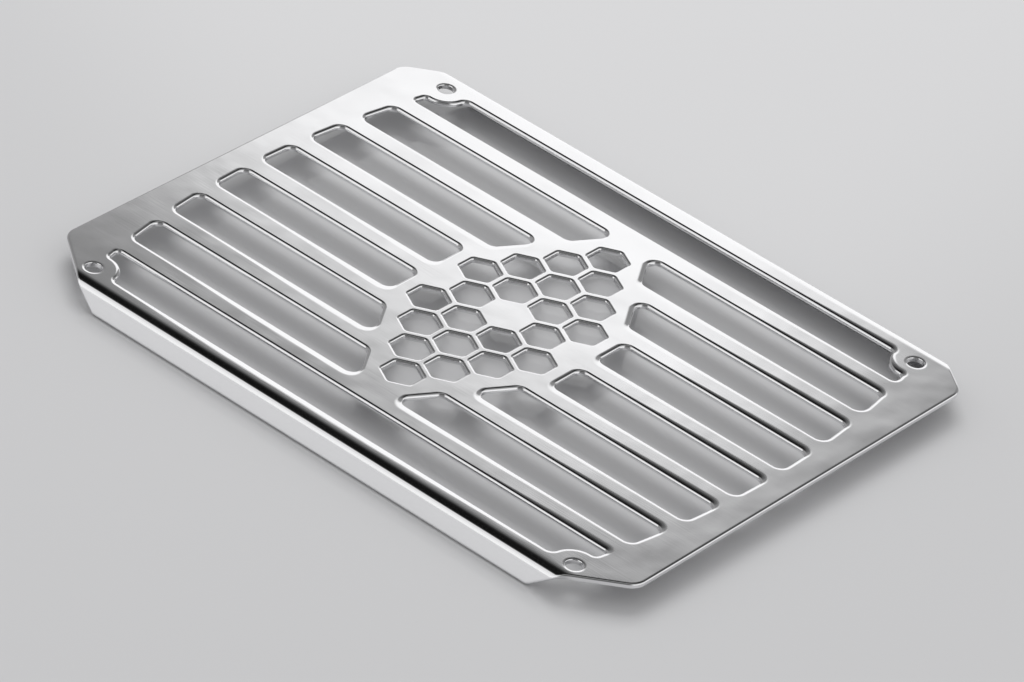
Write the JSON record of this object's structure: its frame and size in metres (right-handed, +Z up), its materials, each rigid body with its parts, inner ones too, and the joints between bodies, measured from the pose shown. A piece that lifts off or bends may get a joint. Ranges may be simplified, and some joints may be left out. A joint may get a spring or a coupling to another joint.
{
  "type": "motorcycle radiator guard",
  "caption": "Polished sheet-metal grille that bolts over a motorcycle radiator: long slots around a honeycomb panel, corners cut off, long sides folded down as flanges.",
  "frame": {"origin": "centre of the bolt pattern in plan, on the surface that the feet of the two flanges stand on", "axes": "+X along the guard and its slots, +Y across it towards the wider of the two long borders, +Z up out of the polished face"},
  "size_m": [0.2744, 0.2234, 0.0105],
  "materials": {
    "polished_steel": "stainless steel polished to a mirror"
  },
  "bodies": {
    "root": {"guard_plate": "polished_steel"}
  },
  "joints": []
}
